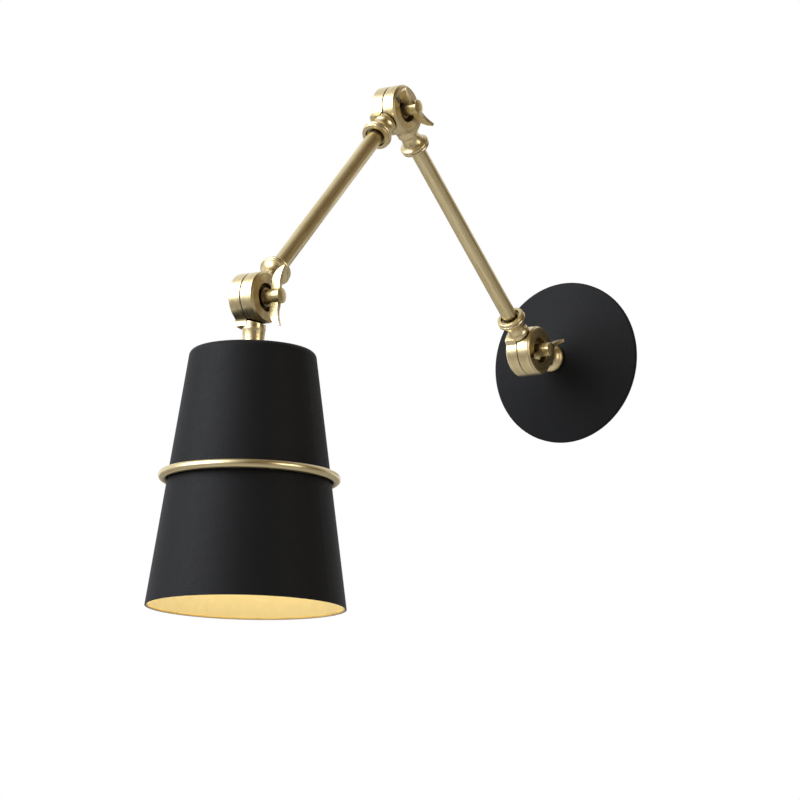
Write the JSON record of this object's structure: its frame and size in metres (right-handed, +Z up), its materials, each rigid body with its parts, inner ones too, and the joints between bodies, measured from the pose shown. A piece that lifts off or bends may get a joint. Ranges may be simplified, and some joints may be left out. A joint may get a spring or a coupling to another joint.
{
  "type": "folding arm wall lamp",
  "caption": "Wall lamp with a round rose, brass arms that fold on half-lap knuckles with wing screws, and a tapered shade with a wire hoop.",
  "frame": {"origin": "middle of the rose on the wall face, midway between the two fixing slots", "axes": "+Y into the wall, so the lamp stands out along -Y; +X to the right of someone facing the wall, along every joint axis; +Z up"},
  "size_m": [0.128, 0.4685, 0.3793],
  "materials": {
    "satin_brass": "satin",
    "black_coat": "matte",
    "zinc_steel": "satin",
    "bright_brass": "polished",
    "black_moulding": "satin",
    "white_moulding": "matte",
    "black_rubber": "matte",
    "fibre": "matte",
    "nickel_cap": "satin",
    "opal_glass": "gloss"
  },
  "bodies": {
    "wall_mount": {"rose": "black_coat", "wall_plate": "zinc_steel", "terminal_block": "white_moulding", "terminal_screws": "zinc_steel", "earth_screw": "bright_brass", "cable_grommet": "black_rubber", "wall_nipple": "zinc_steel", "wall_nipple_nuts": "zinc_steel", "wall_stub": "satin_brass", "wall_washer": "satin_brass"},
    "wall_arm": {"wall_arm_tube": "satin_brass", "wall_arm_inner_knuckle": "satin_brass", "wall_arm_outer_knuckle": "satin_brass", "wall_friction_disc": "fibre", "wall_pivot_nut": "satin_brass", "elbow_washer": "satin_brass"},
    "front_arm": {"front_arm_tube": "satin_brass", "front_arm_inner_knuckle": "satin_brass", "front_arm_outer_knuckle": "satin_brass", "elbow_friction_disc": "fibre", "elbow_pivot_nut": "satin_brass", "head_washer": "satin_brass"},
    "lamp_head": {"head_stem": "satin_brass", "head_nipple": "zinc_steel", "shade": "black_coat", "shade_hoop": "satin_brass", "shade_washer": "zinc_steel", "shade_nut": "zinc_steel", "holder_cap": "black_moulding", "holder_body": "black_moulding", "holder_liner": "bright_brass", "holder_contact": "bright_brass", "bulb_cap": "nickel_cap", "bulb_glass": "opal_glass", "head_friction_disc": "fibre", "head_pivot_nut": "satin_brass"},
    "wall_wing": {"wall_wing_screw": "satin_brass"},
    "elbow_wing": {"elbow_wing_screw": "satin_brass"},
    "head_wing": {"head_wing_screw": "satin_brass"}
  },
  "joints": [
    {"name": "wall_pivot", "type": "hinge", "parent": "wall_mount", "child": "wall_arm", "pos_m": [0, -0.0538, 0], "axis": [1, 0, 0], "range_deg": [-45, 55]},
    {"name": "elbow_pivot", "type": "hinge", "parent": "wall_arm", "child": "front_arm", "pos_m": [0, -0.23627, 0.14002], "axis": [1, 0, 0], "range_deg": [-80, 30]},
    {"name": "head_pivot", "type": "hinge", "parent": "front_arm", "child": "lamp_head", "pos_m": [0, -0.40032, -0.02119], "axis": [1, 0, 0], "range_deg": [-90, 60]},
    {"name": "wall_wing_turn", "type": "hinge", "parent": "wall_arm", "child": "wall_wing", "pos_m": [0, -0.0538, 0], "axis": [1, 0, 0], "range_deg": [0, 360]},
    {"name": "elbow_wing_turn", "type": "hinge", "parent": "front_arm", "child": "elbow_wing", "pos_m": [0, -0.23627, 0.14002], "axis": [1, 0, 0], "range_deg": [0, 360]},
    {"name": "head_wing_turn", "type": "hinge", "parent": "lamp_head", "child": "head_wing", "pos_m": [0, -0.40032, -0.02119], "axis": [1, 0, 0], "range_deg": [0, 360]}
  ]
}
